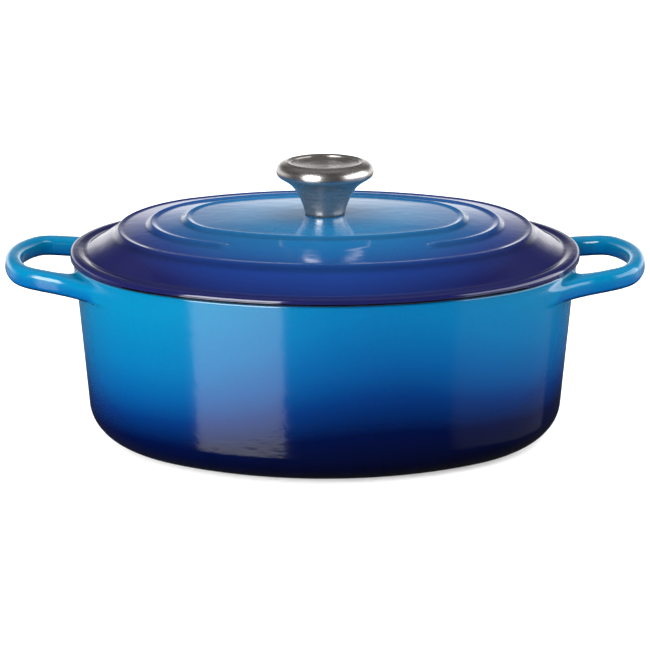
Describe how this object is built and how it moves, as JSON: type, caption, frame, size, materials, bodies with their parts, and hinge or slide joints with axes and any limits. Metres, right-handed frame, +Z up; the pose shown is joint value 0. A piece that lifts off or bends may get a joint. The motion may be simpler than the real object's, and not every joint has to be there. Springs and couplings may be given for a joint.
{
  "type": "oval dutch oven",
  "caption": "Oval enamelled cast iron dutch oven with loop handles, a ringed lid that lifts off and a brushed steel knob.",
  "frame": {"origin": "middle of the base ring, on the surface that the pot stands on", "axes": "+X along the oval towards a handle, +Z up, +Y across the oval"},
  "size_m": [0.377, 0.231, 0.1611],
  "materials": {
    "pot_enamel": "glossy vitreous enamel shading from azure at the rim to near black at the base",
    "lid_enamel": "glossy vitreous enamel shading from azure in the middle to indigo at the edge",
    "knob_steel": "brushed round the axis",
    "insert_brass": "machined",
    "seat_rubber": "matte",
    "fixing_steel": "machined"
  },
  "bodies": {
    "pot": {"pot": "pot_enamel"},
    "lid": {"lid": "lid_enamel", "knob_body": "knob_steel", "knob_cap": "knob_steel", "knob_insert": "insert_brass", "knob_seat": "seat_rubber", "screw_washer": "fixing_steel", "lock_washer": "fixing_steel", "knob_screw": "fixing_steel"}
  },
  "joints": [
    {"name": "lid_lift", "type": "slide", "parent": "pot", "child": "lid", "axis": [0, 0, 1], "range_m": [0, 0.12]}
  ]
}
